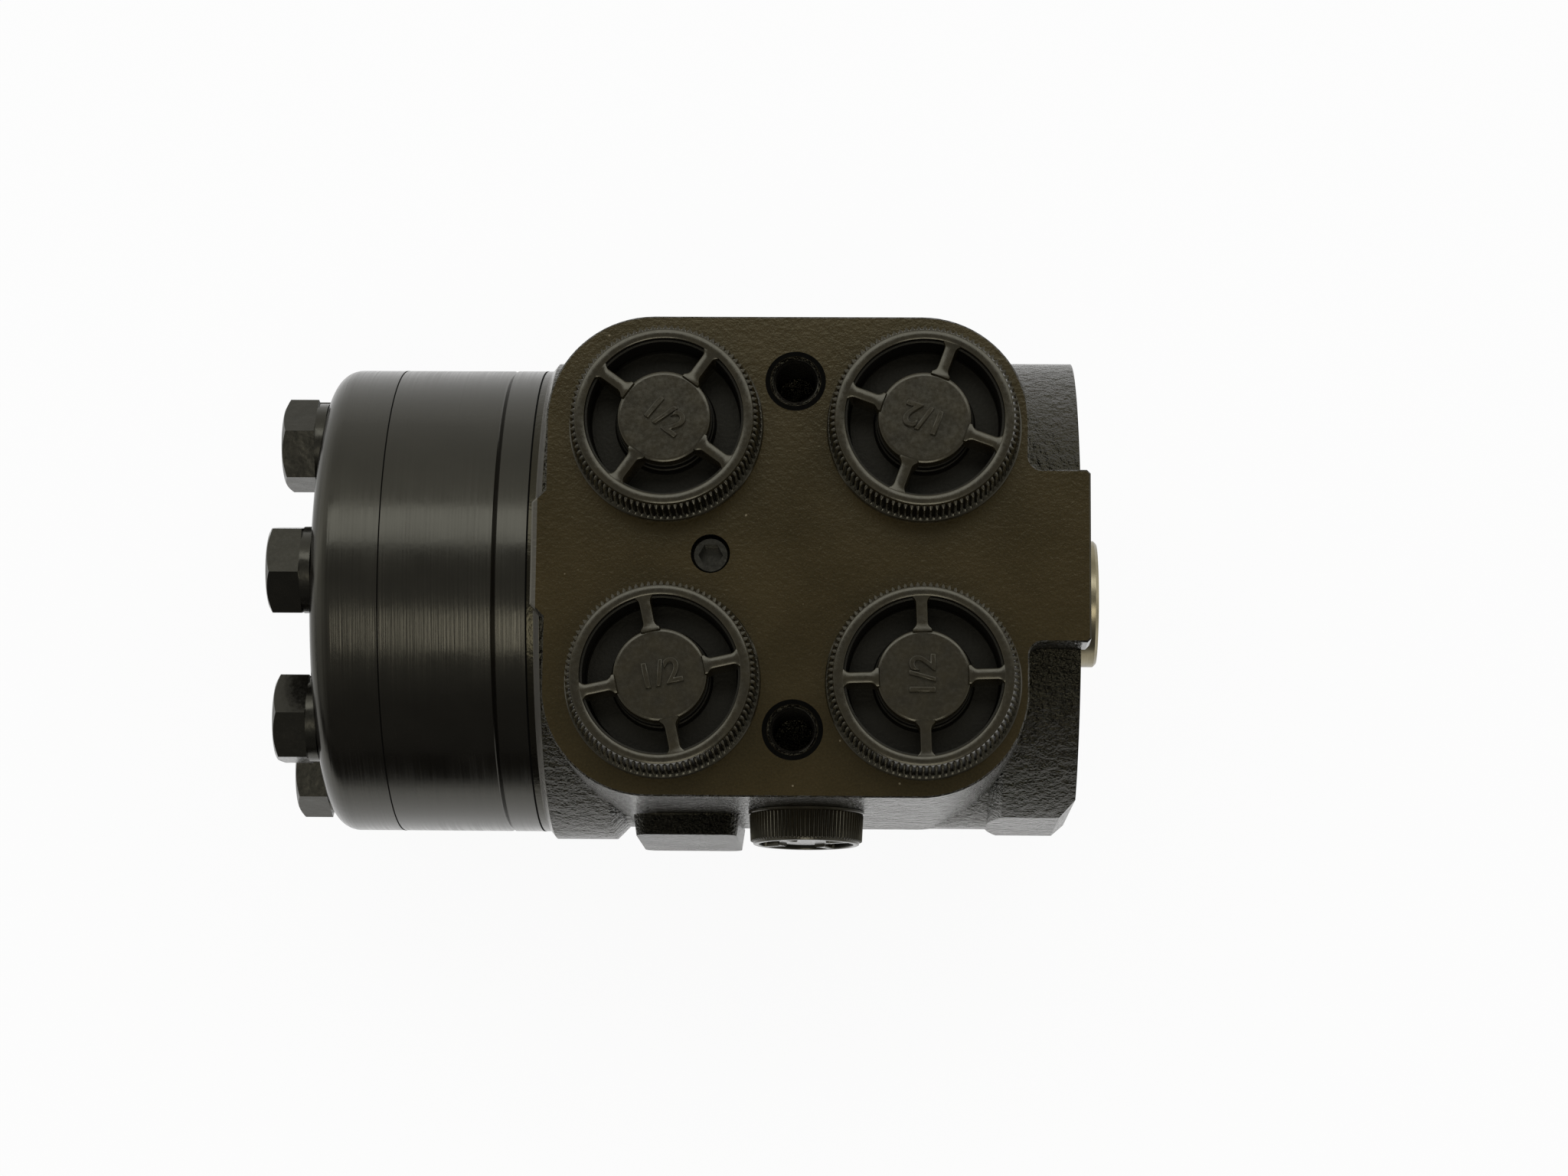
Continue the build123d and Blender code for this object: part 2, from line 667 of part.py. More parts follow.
# ============================================================ control spool
with BuildPart() as control_spool:
    with BuildSketch(station(sleeve_start)):
        Circle(spool_radius)
    extrude(amount=sleeve_end - sleeve_start)
    with BuildSketch(station(sleeve_end)):
        Circle(neck_radius)
    extrude(amount=spool_reach - sleeve_end)
    chamfer(control_spool.faces().sort_by(Axis.X)[-1].edges(), 0.6)
    with BuildSketch(station(sleeve_start)):
        Circle(spool_bore / 2)
    extrude(amount=-spool_web - sleeve_start, mode=Mode.SUBTRACT)
    with BuildSketch(station(spool_reach)):
        add(spline_section(column_spline_tip / 2, column_spline_root / 2))
    extrude(amount=-column_spline_depth, mode=Mode.SUBTRACT)
    # wide holes that let the cross pin swing, and the spring slot
    with BuildSketch(Plane.XZ):
        with Locations((-cross_pin_station, 0)):
            Circle(cross_pin_diameter / 2 + pin_hole_swing + loose_clearance)
    extrude(amount=spool_diameter, both=True, mode=Mode.SUBTRACT)
    with BuildSketch(Plane.XY):
        with Locations((-spring_station, 0)):
            Rectangle(spring_width + 2 * loose_clearance, spring_slot)
    extrude(amount=spool_diameter, both=True, mode=Mode.SUBTRACT)
    # six feed slots and six return slots milled into the outside
    for start, slot_start, slot_end in (
        (0, groove_stations["r"] - groove_width, commutator_station + groove_width),
        (30, groove_stations["side"] - groove_width, groove_stations["l"] + groove_width),
    ):
        with BuildSketch(station(-slot_end)):
            with PolarLocations(spool_radius, rotor_lobes, start_angle=start):
                Rectangle(2 * spool_slot_depth, spool_slot_width)
        extrude(amount=slot_end - slot_start, mode=Mode.SUBTRACT)
save(control_spool, "control_spool")

# ============================================================= cardan shaft
cardan_direction = Vector(-cos(radians(cardan_tilt)), 0, -sin(radians(cardan_tilt)))
cardan_plane = Plane(
    origin=(-cross_pin_station, 0, 0), x_dir=(0, 1, 0), z_dir=cardan_direction
)
fork_start = spool_web + cardan_tip_gap - cross_pin_station
cardan_end = pivot_to_rotor + cardan_spline_length / 2
cardan_neck = cardan_shank / 2 - 0.5
with BuildPart() as cardan_shaft:
    with BuildSketch(cardan_plane.offset(fork_start)):
        Circle(cardan_head / 2)
    extrude(amount=cardan_head_length)
    chamfer(cardan_shaft.edges().filter_by(GeomType.CIRCLE), 1.2)
    with BuildSketch(cardan_plane.offset(fork_start + cardan_head_length)):
        Circle(cardan_shank / 2)
    extrude(amount=cardan_end - cardan_spline_length - fork_start - cardan_head_length)
    with BuildSketch(cardan_plane.offset(cardan_end - cardan_spline_length)):
        add(
            spline_section(
                rotor_spline_tip / 2 - spline_wobble,
                rotor_spline_root / 2 - spline_wobble,
                slack=-2 * spline_wobble,
            )
        )
    extrude(amount=cardan_spline_length)
    # the fork slot that takes the cross pin
    with BuildSketch(cardan_plane.offset(fork_start)):
        Rectangle(cardan_head + 1, cross_pin_diameter + 2 * loose_clearance)
    extrude(
        amount=-fork_start + cross_pin_diameter / 2 + 1.5,
        mode=Mode.SUBTRACT,
    )
save(cardan_shaft, "cardan_shaft")

# =========================================================== thrust bearing
for race_name, race_x in (
    ("bearing_race_fixed", -end_wall - race_thickness),
    ("bearing_race_turning", sleeve_end),
):
    with BuildPart() as race:
        with BuildSketch(station(race_x)):
            Circle(race_diameter / 2)
            Circle(race_bore / 2, mode=Mode.SUBTRACT)
        extrude(amount=race_thickness)
    save(race, race_name)

needle_middle = -end_wall - race_thickness - side_clearance - needle_diameter / 2
needle_circle = (race_diameter + race_bore) / 4
cage_thickness = needle_diameter * 0.6
with BuildPart() as needle_cage:
    with BuildSketch(station(needle_middle - cage_thickness / 2)):
        Circle(race_diameter / 2 - 0.2)
        Circle(race_bore / 2 + 0.2, mode=Mode.SUBTRACT)
        with PolarLocations(needle_circle, needle_count):
            Rectangle(
                needle_length + 2 * running_clearance,
                needle_diameter + 2 * running_clearance,
                mode=Mode.SUBTRACT,
            )
    extrude(amount=cage_thickness)
save(needle_cage, "needle_cage")

with BuildPart() as needles:
    with Locations(station(needle_middle)):
        with PolarLocations(needle_circle, needle_count):
            Cylinder(needle_diameter / 2, needle_length, rotation=(0, 90, 0))
save(needles, "needles")

# ============================================================== shaft seals
seal_lip_radius = neck_radius + running_clearance
with BuildPart() as shaft_seal:
    with BuildSketch(Plane.XZ):
        with BuildLine():
            Polyline(
                (-end_wall + seal_clearance, shaft_seal_diameter / 2 - seal_clearance),
                (-end_wall + shaft_seal_length - seal_clearance, shaft_seal_diameter / 2 - seal_clearance),
                (-end_wall + shaft_seal_length - seal_clearance, seal_lip_radius + 1.2),
                (-end_wall + shaft_seal_length / 2 + 0.5, seal_lip_radius),
                (-end_wall + shaft_seal_length / 2 - 0.5, seal_lip_radius),
                (-end_wall + seal_clearance, seal_lip_radius + 0.9),
                close=True,
            )
        make_face()
    revolve(axis=Axis.X)
save(shaft_seal, "shaft_seal")

with BuildPart() as dust_seal:
    with BuildSketch(Plane.XZ):
        with BuildLine():
            Polyline(
                (-dust_seal_length + seal_clearance, seal_lip_radius + 1.4),
                (-dust_seal_length + seal_clearance, dust_seal_diameter / 2 - seal_clearance),
                (-0.3, dust_seal_diameter / 2 - seal_clearance),
                (-0.3, seal_lip_radius + 1.0),
                (-0.1, seal_lip_radius),
                (-0.9, seal_lip_radius),
                close=True,
            )
        make_face()
    revolve(axis=Axis.X)
save(dust_seal, "dust_seal")

# ============================================================== check valve
check_place = (-check_station, 0)
with BuildPart() as check_plug:
    with BuildSketch(port_face.offset(-check_plug_recess)):
        with Locations(check_place):
            Circle(check_plug_diameter / 2)
    extrude(amount=-check_plug_length)
    chamfer(check_plug.edges().filter_by(GeomType.CIRCLE), 0.5)
    with BuildSketch(port_face.offset(-check_plug_recess)):
        with Locations(check_place):
            RegularPolygon(check_plug_socket / sqrt(3), 6)
    extrude(amount=-check_plug_length * 0.6, mode=Mode.SUBTRACT)
save(check_plug, "check_plug")

seat_rim = check_seat_bore / 2 + 0.4
with BuildPart() as check_seat:
    with BuildSketch(Plane.XY.offset(check_seat_height - check_seat_length)):
        with Locations(check_place):
            Circle(check_chamber / 2 - running_clearance)
            Circle(check_seat_bore / 2, mode=Mode.SUBTRACT)
    extrude(amount=check_seat_length)
save(check_seat, "check_seat")

ball_height = check_seat_height + sqrt((check_ball / 2) ** 2 - (check_seat_bore / 2) ** 2)
with BuildPart() as check_ball_part:
    with Locations((-check_station, 0, ball_height + 0.02)):
        Sphere(check_ball / 2)
save(check_ball_part, "check_ball")


# ================================================================ port caps
def screw_cap(seat, turn, thread, diameter, height):
    """A moulded screw cap: knurled skirt, rim, hub and four spokes, on a plug."""
    scale = diameter / cap_flange_diameter
    rim_radius = cap_grip_diameter * scale / 2 - height * tan(radians(cap_grip_taper))
    pocket = min(cap_pocket_depth, height - 1.2)
    with BuildPart() as cap:
        with BuildSketch(seat):
            Circle(diameter / 2)
        extrude(amount=cap_flange_thickness)
        with BuildSketch(seat):
            Circle(cap_grip_diameter * scale / 2)
        extrude(amount=height, taper=cap_grip_taper)
        with BuildSketch(seat.offset(height)):
            Circle(rim_radius - cap_rim_width * scale)
            Circle(cap_hub_diameter * scale / 2, mode=Mode.SUBTRACT)
            Rectangle(diameter, cap_spoke_width * scale, rotation=turn, mode=Mode.SUBTRACT)
            Rectangle(cap_spoke_width * scale, diameter, rotation=turn, mode=Mode.SUBTRACT)
        extrude(amount=-pocket, mode=Mode.SUBTRACT)
        with BuildSketch(seat):
            Circle(thread / 2 - thread_clearance)
        extrude(amount=-min(cap_plug_length, thread * 0.6))
    return cap


for name, (port_x, port_y) in port_places.items():
    cap_seat = Plane(origin=(port_x, port_y, port_face_height))
    cap = screw_cap(cap_seat, cap_turns[name], port_thread, cap_flange_diameter, cap_height)
    save(cap, "port_cap_" + name)

side_seat = Plane(
    origin=(-side_port_station, -block_width / 2, side_port_height),
    x_dir=(1, 0, 0),
    z_dir=(0, -1, 0),
)
side_cap = screw_cap(
    side_seat, side_cap_turn, side_port_thread, side_cap_diameter, side_cap_height
)
save(side_cap, "side_port_cap")
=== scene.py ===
# %% [markdown]
# # An orbital steering unit, dressed
# The unit lies on its back on a white table: a black casting with four capped ports on its
# face, a turned gear set bolted to one end and a bare steel hub at the other.
# The CAD model carries every fitted shape. This script gives each piece its finish and makes
# what a mould, a tap or a brush leaves behind: knurls, raised figures, threads and paint.

# %% Load the fixed frame
import json
from functools import partial
from math import pi, radians

import bpy
import numpy as np
from mathutils import Matrix, Vector


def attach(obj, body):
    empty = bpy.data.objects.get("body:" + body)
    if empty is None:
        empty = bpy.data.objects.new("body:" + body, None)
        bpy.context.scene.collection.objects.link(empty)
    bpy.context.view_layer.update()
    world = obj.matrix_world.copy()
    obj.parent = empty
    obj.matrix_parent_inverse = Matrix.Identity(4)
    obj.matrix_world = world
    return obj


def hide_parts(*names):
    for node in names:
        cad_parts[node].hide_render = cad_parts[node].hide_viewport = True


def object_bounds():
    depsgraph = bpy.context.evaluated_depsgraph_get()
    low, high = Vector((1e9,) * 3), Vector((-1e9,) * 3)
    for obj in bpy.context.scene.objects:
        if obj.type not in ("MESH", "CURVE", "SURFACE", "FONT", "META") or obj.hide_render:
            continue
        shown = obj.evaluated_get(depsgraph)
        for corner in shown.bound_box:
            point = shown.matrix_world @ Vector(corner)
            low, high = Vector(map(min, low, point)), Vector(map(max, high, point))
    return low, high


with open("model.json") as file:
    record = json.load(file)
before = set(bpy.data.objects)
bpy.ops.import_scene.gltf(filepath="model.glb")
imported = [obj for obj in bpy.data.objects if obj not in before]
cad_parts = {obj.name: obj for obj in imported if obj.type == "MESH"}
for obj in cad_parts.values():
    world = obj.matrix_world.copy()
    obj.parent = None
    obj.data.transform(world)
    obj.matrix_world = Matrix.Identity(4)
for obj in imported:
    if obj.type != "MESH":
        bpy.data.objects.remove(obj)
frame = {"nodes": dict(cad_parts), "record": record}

cad_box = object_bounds()
nodes = frame["nodes"]
mm = 0.001
print(len(nodes), "CAD pieces loaded")

# %% [markdown]
# ## Helpers for the pieces
# A lathe shape is a line of (radius, height) points carried round an axis. The same grid also
# makes a knurl or a thread, if the radius changes a little with the angle and the height.
# Numpy works out all the points at once, which is quick and keeps the formula in one place.


# %% Turn a grid of points into faces
def grid_faces(rows, columns, closed_rows=False):
    """Quads between the points of a grid whose columns join up; its rows may join up too."""
    row_count = rows if closed_rows else rows - 1
    row, column = np.meshgrid(np.arange(row_count), np.arange(columns), indexing="ij")
    next_row, next_column = (row + 1) % rows, (column + 1) % columns
    corners = [
        row * columns + column,
        row * columns + next_column,
        next_row * columns + next_column,
        next_row * columns + column,
    ]
    return np.stack(corners, axis=-1).reshape(-1, 4)


def pole_fans(rows, columns):
    """Triangles that join the first and the last ring of a grid to one point each, numbered
    straight after the grid's own points."""
    ring = np.arange(columns)
    after = (ring + 1) % columns
    top_ring, first_pole = (rows - 1) * columns, np.full(columns, rows * columns)
    low = np.stack([first_pole, after, ring], axis=-1)
    high = np.stack([top_ring + ring, top_ring + after, first_pole + 1], axis=-1)
    return np.vstack([low, high])


print("face helpers ready")


# %% Make and seat a mesh
def mesh_piece(name, points, *face_blocks, smooth_angle=35):
    """A mesh object at the origin, smooth where neighbouring faces turn less than the angle."""
    mesh = bpy.data.meshes.new(name)
    faces = [face for block in face_blocks for face in block.tolist()]
    mesh.from_pydata(points.reshape(-1, 3).tolist(), [], faces)
    mesh.validate()
    mesh.shade_smooth()
    mesh.set_sharp_from_angle(angle=radians(smooth_angle))
    piece = bpy.data.objects.new(name, mesh)
    bpy.context.scene.collection.objects.link(piece)
    return piece


def full_turn(columns):
    """Angles of that many equal steps round an axis."""
    return np.arange(columns) * 2 * pi / columns


def place(points, seat, axis_x, axis_y):
    """Points given as x, y and height over a seat, moved to the unit's frame."""
    axis_x, axis_y = np.array(axis_x, float), np.array(axis_y, float)
    axis_z = np.cross(axis_x, axis_y)
    return np.array(seat) + points @ np.stack([axis_x, axis_y, axis_z])


print("mesh helpers ready")

# %% [markdown]
# ## The screw caps
# Each port is shut by a moulded plastic cap. Its skirt is knurled with straight teeth, so that
# fingers can turn it, and it is hollow on top: a rim, a hub and four spokes that brace them.
# The body is one profile carried round; the teeth are a ripple on the skirt's radius only.
# The mould was polished outside and left rough in the recess and between the teeth, so the
# faces there are marked for a duller finish, whose darker colour is painted shade.

# %% Sizes of a port cap, in millimetres
cap_flange_radius = 18.1
cap_skirt_foot, cap_skirt_top = 17.05, 16.65
cap_rim_radius, cap_rim_inner = 16.55, 14.65
cap_hub_radius = 8.6
cap_height, cap_hub_drop = 9.5, 0.75
cap_floor = 1.4
cap_plug_radius, cap_plug_length = 10.3, 9.0
cap_teeth, points_per_tooth = 92, 8
cap_tooth_height, cap_tooth_sharpness = 0.75, 1.3
spoke_width, spoke_flare, spoke_flare_reach = 2.1, 0.75, 1.2
figure_size, figure_lift, figure_round = 6.4, 0.7, 0.2
print("a cap is", 2 * cap_flange_radius, "mm wide and", cap_height, "mm high")


# %% The profile of a cap
def cap_profile():
    """Radius, height and knurl share of a cap's points, from its plug, out round the flange, up
    the skirt and down into the recess to the hub. The small offsets round off its edges."""
    top, hub_top = cap_height, cap_height - cap_hub_drop
    hub_foot = cap_hub_radius + 0.55
    corners = [
        (cap_plug_radius - 0.5, -cap_plug_length, 0), (cap_plug_radius, 0.5 - cap_plug_length, 0),
        (cap_plug_radius, 0.0, 0), (cap_flange_radius - 0.15, 0.0, 0),
        (cap_flange_radius, 0.15, 0), (cap_flange_radius, 0.7, 0),
        (cap_flange_radius - 0.2, 0.9, 0), (cap_skirt_foot + 0.3, 0.95, 0),
        (cap_skirt_foot, 1.15, 1), (cap_skirt_top, top - 1.0, 1),
        (cap_rim_radius, top - 0.75, 0.1), (cap_rim_radius, top - 0.4, 0),
        (cap_rim_radius - 0.1, top - 0.12, 0), (cap_rim_radius - 0.38, top, 0),
        (cap_rim_inner + 0.3, top, 0), (cap_rim_inner + 0.08, top - 0.1, 0),
        (cap_rim_inner, top - 0.32, 0), (cap_rim_inner - 0.05, top - 1.2, 0),
        (cap_rim_inner - 0.4, top - 1.3, 0), (cap_rim_inner - 0.6, cap_floor + 0.3, 0),
        (cap_rim_inner - 0.9, cap_floor, 0), (hub_foot + 0.3, cap_floor, 0),
        (hub_foot, cap_floor + 0.3, 0), (hub_foot - 0.05, cap_floor + 2.2, 0),
        (hub_foot - 0.3, cap_floor + 2.3, 0), (hub_foot - 0.35, cap_floor + 4.4, 0),
        (cap_hub_radius, cap_floor + 4.5, 0), (cap_hub_radius, hub_top - 0.45, 0),
        (cap_hub_radius - 0.12, hub_top - 0.14, 0), (cap_hub_radius - 0.42, hub_top, 0),
        (cap_hub_radius - 0.8, hub_top, 0),
    ]
    return np.array(corners)


# Rows of the profile, counted from the plug: the knurled skirt, and the two ends of the recess.
skirt_row, recess_first, recess_last = 8, 16, 25
print(len(cap_profile()), "points in the profile")


# %% One cap body by revolving the profile
# Faces marked here also take a darker colour: painted shade in the recess and between the teeth.
dull_and_shaded_faces = {}  # for each body, which of its faces take the dull finish


def cap_body(name, seat, axis_x, axis_y, scale=1.0, teeth=cap_teeth, height=1.0, gap=0.3):
    """The profile revolved. On the skirt ridges stand out from the profile:
    radius = profile radius + tooth height * share * (half of one plus cosine of teeth * angle),
    with that half raised to the sharpness. Skirt faces whose ridge is under gap, and the recess's
    faces, are dull and coloured darker, which is painted shade."""
    profile = cap_profile()
    columns = teeth * points_per_tooth
    angle = full_turn(columns)
    ridge = (0.5 + 0.5 * np.cos(teeth * angle)) ** cap_tooth_sharpness
    radius = profile[:, :1] + cap_tooth_height * profile[:, 2:] * ridge[None, :]
    level = np.repeat(profile[:, 1:2] * height, columns, axis=1)
    points = np.stack([radius * np.cos(angle), radius * np.sin(angle), level], axis=-1)
    poles = np.array([(0, 0, profile[0, 1] * height), (0, 0, profile[-1, 1] * height)])
    points = np.vstack([points.reshape(-1, 3), poles])
    points = place(points * scale * mm, seat, axis_x, axis_y)
    faces = grid_faces(len(profile), columns), pole_fans(len(profile), columns)
    piece = mesh_piece(name, points, *faces, smooth_angle=38)
    row = np.arange(len(profile) - 1)[:, None]
    in_recess = (row >= recess_first) & (row <= recess_last)
    in_gap = (row == skirt_row) & (0.5 * (ridge + np.roll(ridge, -1)) < gap)
    # Recess faces and tooth gaps take the dull finish, coloured darker as painted shade.
    dull_and_shaded = np.concatenate([(in_recess | in_gap).ravel(), np.zeros(2 * columns, bool)])
    dull_and_shaded_faces[name] = dull_and_shaded.astype(np.int32)
    return piece


print("cap bodies can be made")


# %% The spokes of a cap
def cap_spokes(name, seat, axis_x, axis_y, turn, scale=1.0, height=1.0):
    """Four bars between hub and rim. Across, a bar is an arch: straight walls that round into a
    flat top. Along, that section is carried from inside the hub's wall to inside the rim's, and
    it is widened near both by flare * (1 - distance to the wall / flare reach) squared."""
    top, foot = cap_height * height - 0.1, cap_floor - 0.6
    edge = np.array([(0, foot), (0, top - 0.35), (0.09, top - 0.11), (0.33, top)])
    left = edge - (spoke_width / 2, 0)
    section = np.vstack([left, left[::-1] * (-1, 1)])
    hub_wall, rim_wall = cap_hub_radius, cap_rim_inner
    near_hub = np.linspace(hub_wall, hub_wall + spoke_flare_reach, 5)
    near_rim = np.linspace(rim_wall - spoke_flare_reach, rim_wall, 5)
    along = np.concatenate([[hub_wall - 0.4], near_hub, near_rim, [rim_wall + 0.2]])
    distance = np.maximum(np.minimum(along - hub_wall, rim_wall - along), 0)
    flare = 1 + spoke_flare * np.maximum(1 - distance / spoke_flare_reach, 0) ** 2
    reach, across = np.broadcast_arrays(along[:, None], flare[:, None] * section[None, :, 0])
    bar = np.stack([reach, across, np.broadcast_to(section[:, 1], across.shape)], axis=-1)
    bearing = radians(turn) + full_turn(4)
    cosine, sine, none = np.cos(bearing), np.sin(bearing), np.zeros(4)
    spins = np.stack([cosine, sine, none, -sine, cosine, none, none, none, none + 1], axis=-1)
    points = np.einsum("rwk,skj->srwj", bar, spins.reshape(4, 3, 3)).reshape(-1, 3)
    rows, width = len(along), len(section)
    first = (np.arange(4) * rows * width)[:, None, None]
    quads = (grid_faces(rows, width)[None, :, ::-1] + first).reshape(-1, 4)
    end = np.arange(width)[None, :] + first[:, 0]
    points = place(points * scale * mm, seat, axis_x, axis_y)
    return mesh_piece(name, points, quads, end, end[:, ::-1] + (rows - 1) * width)


print("spokes can be made")


# %% The raised figures of a cap
def raised_figure(name, words, seat, axis_x, axis_y, turn):
    """Moulded figures: a text with rounded edges made a mesh first, then turned and seated."""
    curve = bpy.data.curves.new(name + "_outline", "FONT")
    curve.body = words
    curve.size = figure_size * mm
    curve.extrude = (figure_lift - figure_round) * mm
    curve.bevel_depth, curve.bevel_resolution = figure_round * mm, 1
    curve.align_x, curve.align_y = "CENTER", "CENTER"
    outline = bpy.data.objects.new(name + "_outline", curve)
    mesh = bpy.data.meshes.new_from_object(outline)
    bpy.data.objects.remove(outline)
    axis_x, axis_y = Vector(axis_x), Vector(axis_y)
    turned_x = axis_x * np.cos(radians(turn)) + axis_y * np.sin(radians(turn))
    normal = axis_x.cross(axis_y)
    to_seat = Matrix((turned_x, normal.cross(turned_x), normal)).transposed().to_4x4()
    mesh.transform(Matrix.Translation(Vector(seat)) @ to_seat)
    piece = bpy.data.objects.new(name, mesh)
    bpy.context.scene.collection.objects.link(piece)
    return piece


print("figures can be made")

# %% Place the four port caps and the side cap
port_face, port_middle, port_pitch = 54.0, -53.5, 48.0
# For each port: its side along and across the face, and the turns of its spokes and figures.
caps = {
    "l": (-1, 1, 54.0, -38.0),
    "r": (-1, -1, 12.5, 13.0),
    "t": (1, 1, 70.0, 160.0),
    "p": (1, -1, 2.0, 90.0),
}
face_axes = ((1, 0, 0), (0, 1, 0))
pieces = {}
for letter, (along, across, spoke_turn, figure_turn) in caps.items():
    seat = Vector((port_middle + along * port_pitch / 2, across * port_pitch / 2, port_face)) * mm
    name = "port_cap_" + letter
    pieces[name + "_body"] = cap_body(name + "_body", seat, *face_axes)
    pieces[name + "_spokes"] = cap_spokes(name + "_spokes", seat, *face_axes, spoke_turn)
    hub = seat + Vector((0, 0, cap_height - cap_hub_drop)) * mm
    pieces[name + "_figure"] = raised_figure(name + "_figure", "1/2", hub, *face_axes, figure_turn)
side_seat = Vector((-51.3, -45.2, 29.0)) * mm
side_scale, side_height, side_teeth, side_gap, side_turn = 0.6077, 1.091, 80, 0.1, 30
side_axes = ((1, 0, 0), (0, 0, 1))
pieces["side_port_cap_body"] = cap_body(
    "side_port_cap_body", side_seat, *side_axes, side_scale, side_teeth, side_height, side_gap
)
pieces["side_port_cap_spokes"] = cap_spokes(
    "side_port_cap_spokes", side_seat, *side_axes, side_turn, side_scale, side_height
)
for name, piece in pieces.items():
    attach(piece, "housing_body")
    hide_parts(name.rsplit("_", 1)[0])
print(len(pieces), "cap pieces")

# %% [markdown]
# ## Threads in the open screw holes
# A tapped hole shows bright and dark lines where light catches the thread. The ridge climbs one
# pitch each turn, so the radius depends on the height less the angle's share of the pitch.
# The two holes in the port face also get a flat near-black ring, painted shade for the countersink.
# The four in the column face run out through the barrel's skin at their foot, so their liners
# reach further in there and shut that slit.

# %% Sizes of the threads, in millimetres
thread_pitch, thread_run_in = 1.5, 0.6
thread_outer, thread_root, thread_crest = 4.24, 4.2, 3.72
thread_top, ledge_thickness = -0.6, 0.05
thread_columns, thread_levels = 48, 116
ridge_slope = 2.5
valve_screw_reach, valve_screw_bottom, valve_screw_foot = 32.8, -15.0, 4.1
column_bolt_circle, column_bolt_bottom, column_bolt_foot = 82.55, -16.9, 3.1
column_bolts, mouth_columns = 4, 96
print("threads of", thread_pitch, "mm pitch")


# %% Thread liners and mouths
def thread_liner(name, seat, axis_x, axis_y, bottom, foot_radius):
    """A ridged sleeve inside a tapped hole. Its inner radius is the root less the ridge height
    times a triangle wave of (height / pitch - angle / full turn); its outer wall is plain and
    at its foot it reaches in as far as the foot radius."""
    angle = full_turn(thread_columns)
    level = np.linspace(bottom, thread_top, thread_levels)
    phase = (level[:, None] / thread_pitch - angle[None, :] / (2 * pi)) % 1.0
    ridge = np.clip(ridge_slope * (0.5 - np.abs(phase - 0.5)), 0, 1)
    ridge = ridge * np.clip((thread_top - level[:, None]) / thread_run_in, 0, 1)
    inner = thread_root - (thread_root - thread_crest) * ridge
    outer = np.full((2, thread_columns), thread_outer)
    foot = np.full((1, thread_columns), foot_radius)
    radius = np.vstack([foot, inner, outer, foot])
    under = bottom - ledge_thickness
    height = np.concatenate([[bottom], level, [thread_top, under, under]])[:, None] + 0 * angle
    points = np.stack([radius * np.cos(angle), radius * np.sin(angle), height], axis=-1)
    points = place(points.reshape(-1, 3) * mm, seat, axis_x, axis_y)
    faces = grid_faces(len(radius), thread_columns, closed_rows=True)[:, ::-1]
    return mesh_piece(name, points, faces, smooth_angle=60)


def screw_mouth_shade(name, seat):
    """A near-black ring round a hole, painted shade standing for the countersink's chamfer:
    a trapezium of radius and height carried round it.
    """
    section = np.array([(4.72, -0.1), (4.72, 0.02), (5.5, 0.02), (5.62, 0.05), (5.7, -0.1)])
    angle = full_turn(mouth_columns)
    radius, level = section[:, :1], section[:, 1:] + 0 * angle
    points = np.stack([radius * np.cos(angle), radius * np.sin(angle), level], axis=-1)
    faces = grid_faces(len(section), mouth_columns, closed_rows=True)[:, ::-1]
    return mesh_piece(name, points * mm + np.array(seat), faces)


print("liners and mouths can be made")

# %% Line the six open holes
for side, where in ((-1, "near"), (1, "far")):
    seat = Vector((port_middle, side * valve_screw_reach, port_face)) * mm
    liner = thread_liner(
        "valve_screw_thread_" + where, seat, *face_axes, valve_screw_bottom, valve_screw_foot
    )
    pieces[liner.name] = liner
    # A near-black ring of painted shade stands for the countersink round the hole.
    mouth = screw_mouth_shade("valve_screw_mouth_" + where, seat)
    pieces[mouth.name] = mouth
    for piece in (liner, mouth):
        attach(piece, "housing_body")
column_axes = ((0, 1, 0), (0, 0, 1))
for number, bearing in enumerate(radians(45) + full_turn(column_bolts)):
    seat = Vector((0, np.cos(bearing), np.sin(bearing))) * (column_bolt_circle / 2 * mm)
    liner = thread_liner(
        f"column_bolt_thread_{number + 1}", seat, *column_axes, column_bolt_bottom, column_bolt_foot
    )
    pieces[liner.name] = liner
    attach(liner, "housing_body")
print("threads cut")

# %% [markdown]
# ## Painted shade in two joints
# The cover, the ring, the plate and the housing are ground flat and bolted. At the first and the
# last joint the seam's shade is painted as a fine near-black line round the stack. A
# trapezium carried round the axis makes it; it stands only a few hundredths of a millimetre
# proud.

# %% Painted shade lines in the joints
stack_radius, bead_proud, bead_depth, bead_columns = 46.0, 0.03, 0.1, 240
bead_top_share = 0.4  # half the top's width, over the width at the foot


def joint_bead(name, station, width):
    """A trapezium section carried round the axis: radius, station and full turn."""
    inner, outer = stack_radius - bead_depth, stack_radius + bead_proud
    section = np.array([(inner, -width / 2), (outer, -width * bead_top_share),
                        (outer, width * bead_top_share), (inner, width / 2)])
    angle = full_turn(bead_columns)
    reach, along = section[:, :1], station + section[:, 1:] + 0 * angle
    points = np.stack([along, reach * np.cos(angle), reach * np.sin(angle)], axis=-1)
    return mesh_piece(name, points * mm, grid_faces(len(section), bead_columns, closed_rows=True))


# Each line is near-black painted shade standing for the dark seam.
# For each joint of the stack: the station along the axis and the width of the line.
joints = {"cover_joint_bead": (-132.0, 0.3), "housing_joint_bead": (-104.0, 0.4)}
for name, (station, width) in joints.items():
    pieces[name] = joint_bead(name, station, width)
    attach(pieces[name], "housing_body")
print("joint shade lines drawn")

